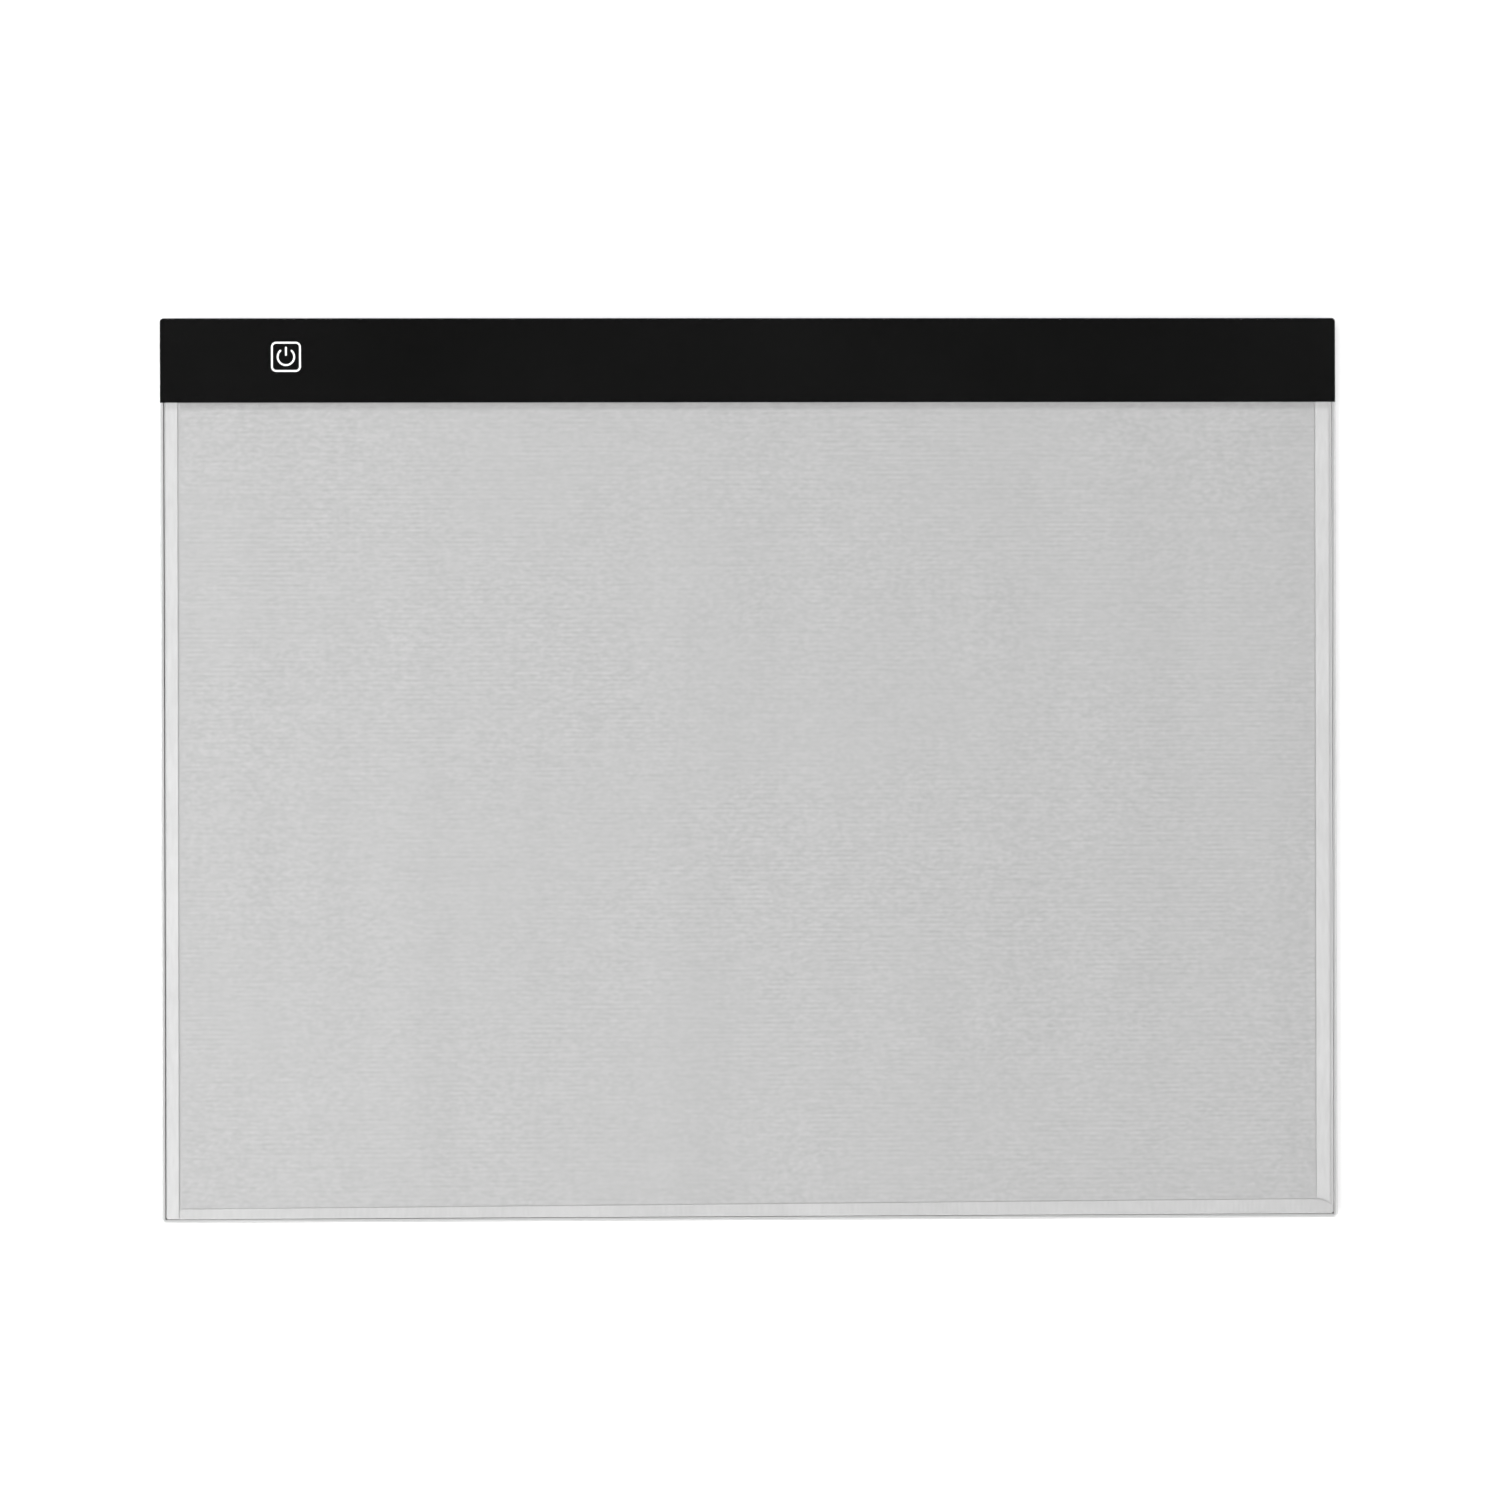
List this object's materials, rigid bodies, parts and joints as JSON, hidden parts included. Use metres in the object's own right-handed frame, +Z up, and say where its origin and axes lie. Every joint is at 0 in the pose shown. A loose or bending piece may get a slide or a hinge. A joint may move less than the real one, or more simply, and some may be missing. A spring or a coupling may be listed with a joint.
{
  "type": "light box",
  "caption": "Thin edge-lit light box for tracing: a clear-faced panel with a black band along its rear edge that carries a touch key, on a shallow moulded cover.",
  "frame": {"origin": "centre of the footprint, on the surface the feet stand on", "axes": "+X to the user's right along the band, +Y to the rear, towards the band, +Z up out of the lit face"},
  "size_m": [0.434, 0.333, 0.0058],
  "materials": {
    "clear_acrylic": "clear glossy cast acrylic",
    "black_print": "screen-printed black ink",
    "white_print": "screen-printed white ink",
    "guide_acrylic": "clear acrylic with a printed dot pattern",
    "diffuser_film": "grey-white matte film",
    "reflector_film": "white matte film",
    "white_tape": "white double-sided tape",
    "bar_tape": "thin transfer tape",
    "black_tape": "black masking film",
    "board_laminate_white": "white solder mask on glass-epoxy",
    "board_laminate_green": "green solder mask on glass-epoxy",
    "led_body": "white moulded package",
    "led_phosphor": "yellow phosphor gel",
    "chip_resin": "black epoxy",
    "plated_steel": "bright tin or nickel plate",
    "contact_gold": "gold flash",
    "connector_plastic": "black nylon",
    "capacitor_ceramic": "tan ceramic",
    "resistor_ceramic": "black-topped ceramic",
    "wire_red": "red vinyl insulation",
    "wire_black": "black vinyl insulation",
    "cover_plastic": "fine-textured light grey moulding",
    "label_paper": "blank matte label",
    "foot_rubber": "soft matte rubber"
  },
  "bodies": {
    "root": {"front_panel": "clear_acrylic", "bezel_print": "black_print", "power_symbol": "white_print", "light_guide": "guide_acrylic", "diffuser_film": "diffuser_film", "reflector_sheet": "reflector_film", "panel_tape_left": "white_tape", "panel_tape_front": "white_tape", "panel_tape_right": "white_tape", "panel_tape_rear": "white_tape", "base_tape_left": "white_tape", "base_tape_middle": "white_tape", "base_tape_right": "white_tape", "edge_reflector_left": "white_tape", "edge_reflector_right": "white_tape", "edge_reflector_front": "white_tape", "led_board_tape": "bar_tape", "board_tape": "bar_tape", "led_shield_tape": "black_tape", "led_board": "board_laminate_white", "control_board": "board_laminate_green", "led_packages": "led_body", "led_windows": "led_phosphor", "touch_controller": "chip_resin", "dimming_mosfet": "chip_resin", "usb_shell": "plated_steel", "chip_leads": "plated_steel", "touch_spring": "plated_steel", "solder_joints": "plated_steel", "usb_contacts": "contact_gold", "usb_insulator": "connector_plastic", "chip_capacitors": "capacitor_ceramic", "chip_resistors": "resistor_ceramic", "wire_red": "wire_red", "wire_black": "wire_black", "rear_cover": "cover_plastic", "underside_label": "label_paper", "foot_front_left": "foot_rubber", "foot_front_middle": "foot_rubber", "foot_front_right": "foot_rubber", "foot_rear_left": "foot_rubber", "foot_rear_middle": "foot_rubber", "foot_rear_right": "foot_rubber"}
  },
  "joints": []
}
